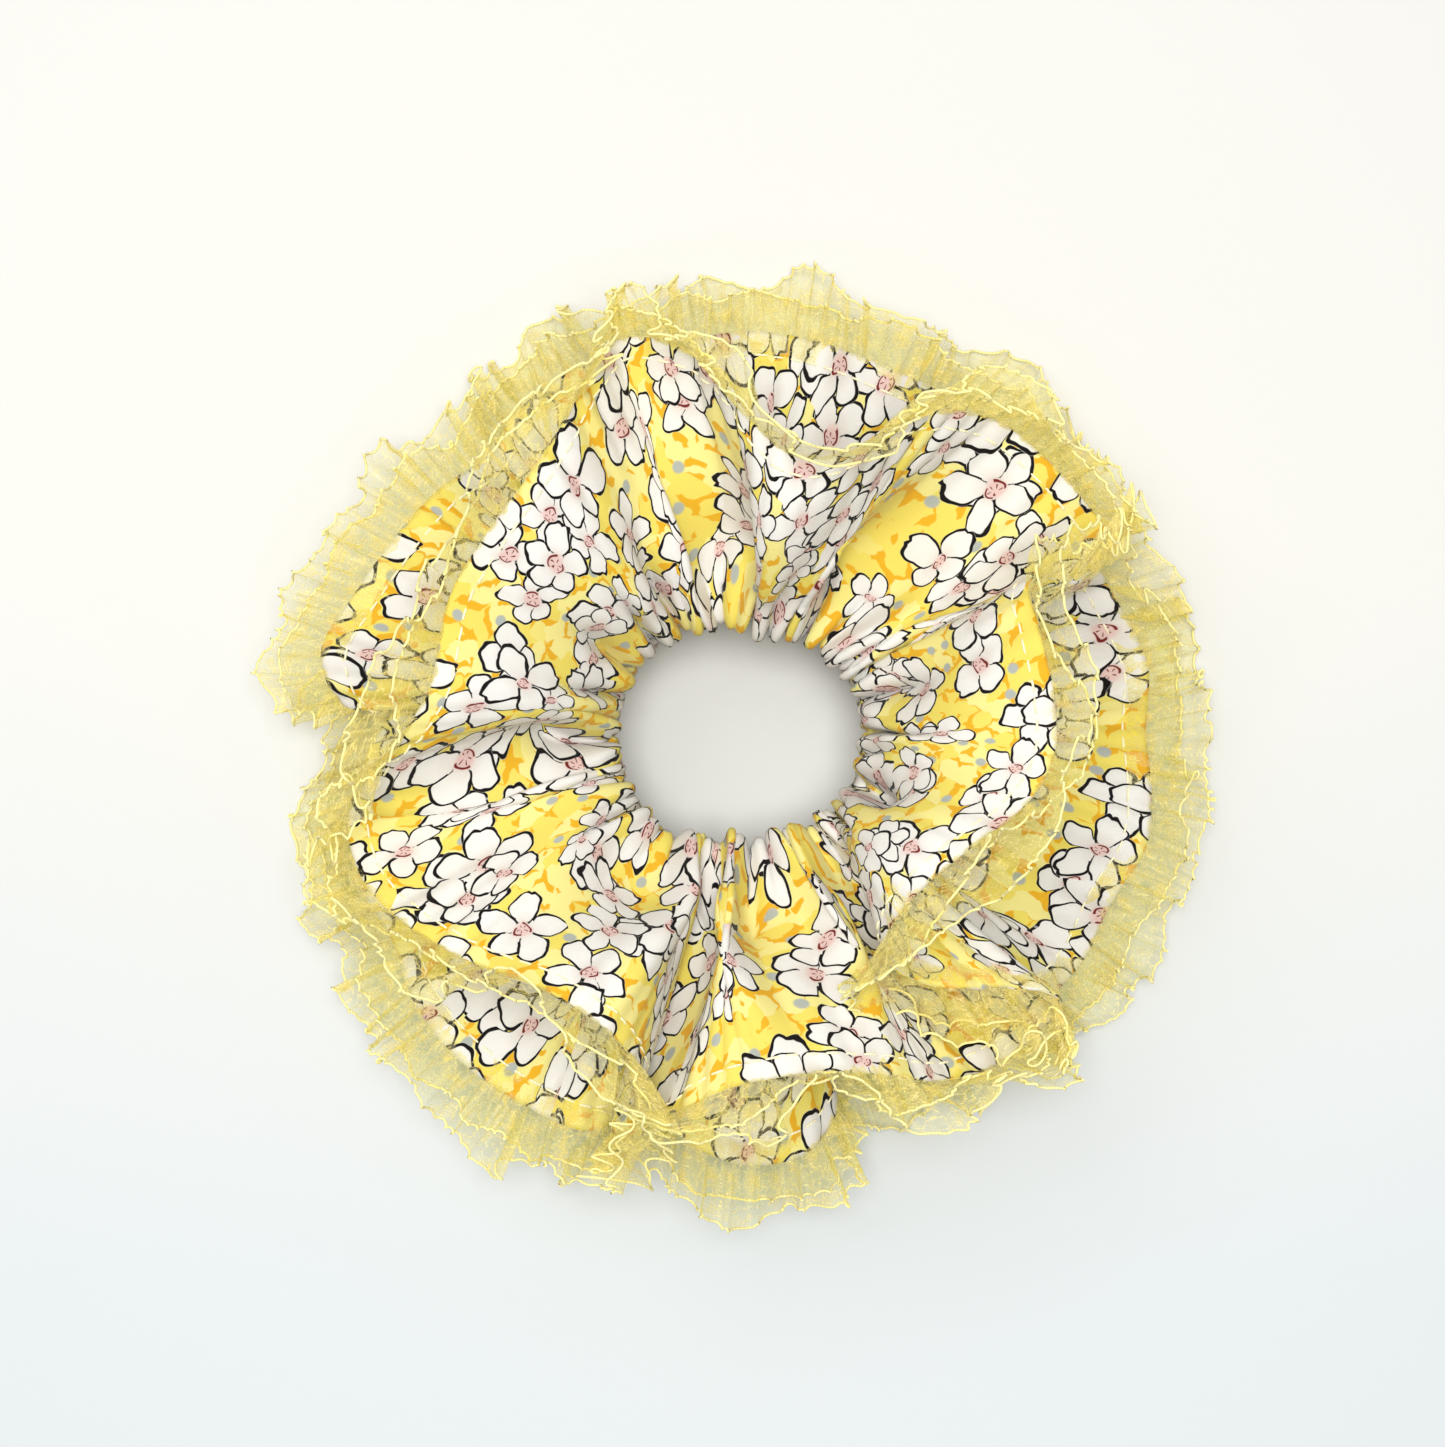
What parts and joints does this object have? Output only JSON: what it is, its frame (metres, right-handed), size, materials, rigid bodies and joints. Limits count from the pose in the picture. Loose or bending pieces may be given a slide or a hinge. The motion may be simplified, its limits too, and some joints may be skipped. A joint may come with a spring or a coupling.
{
  "type": "scrunchie",
  "caption": "Frilled hair scrunchie: elastic in a gathered cloth channel between two doubled ruffles edged with pleated organza.",
  "frame": {"origin": "centre of the hair opening, halfway up the elastic channel", "axes": "+Z along the hair opening's axis, towards the upper frill; the lower frill rests on a surface 21 mm below the origin; +X and +Y in the plane of the channel"},
  "size_m": [0.1538, 0.1548, 0.0639],
  "materials": {
    "floral_cotton": "plain-woven printed cotton lawn, matt",
    "organza": "sheer crisp organza with a soft lustre",
    "woven_elastic": "ribbed woven cover, matt",
    "sewing_thread": "spun polyester thread, slight sheen"
  },
  "bodies": {
    "cloth": {"elastic_channel": "floral_cotton", "channel_end_seam_stitching": "sewing_thread", "upper_frill_face_cloth": "floral_cotton", "upper_frill_lining_cloth": "floral_cotton", "upper_organza_trim": "organza", "upper_trim_gathering_thread": "sewing_thread", "upper_hem_topstitching": "sewing_thread", "upper_frill_joining_seam": "sewing_thread", "upper_frill_end_seam_stitching": "sewing_thread", "lower_frill_face_cloth": "floral_cotton", "lower_frill_lining_cloth": "floral_cotton", "lower_organza_trim": "organza", "lower_trim_gathering_thread": "sewing_thread", "lower_hem_topstitching": "sewing_thread", "lower_frill_joining_seam": "sewing_thread", "lower_frill_end_seam_stitching": "sewing_thread"},
    "elastic": {"elastic_band": "woven_elastic", "elastic_lap_stitching": "sewing_thread"}
  },
  "joints": [
    {"name": "elastic_turn", "type": "hinge", "parent": "cloth", "child": "elastic", "pos_m": [0, 0, 0], "axis": [0, 0, 1], "continuous": true}
  ]
}
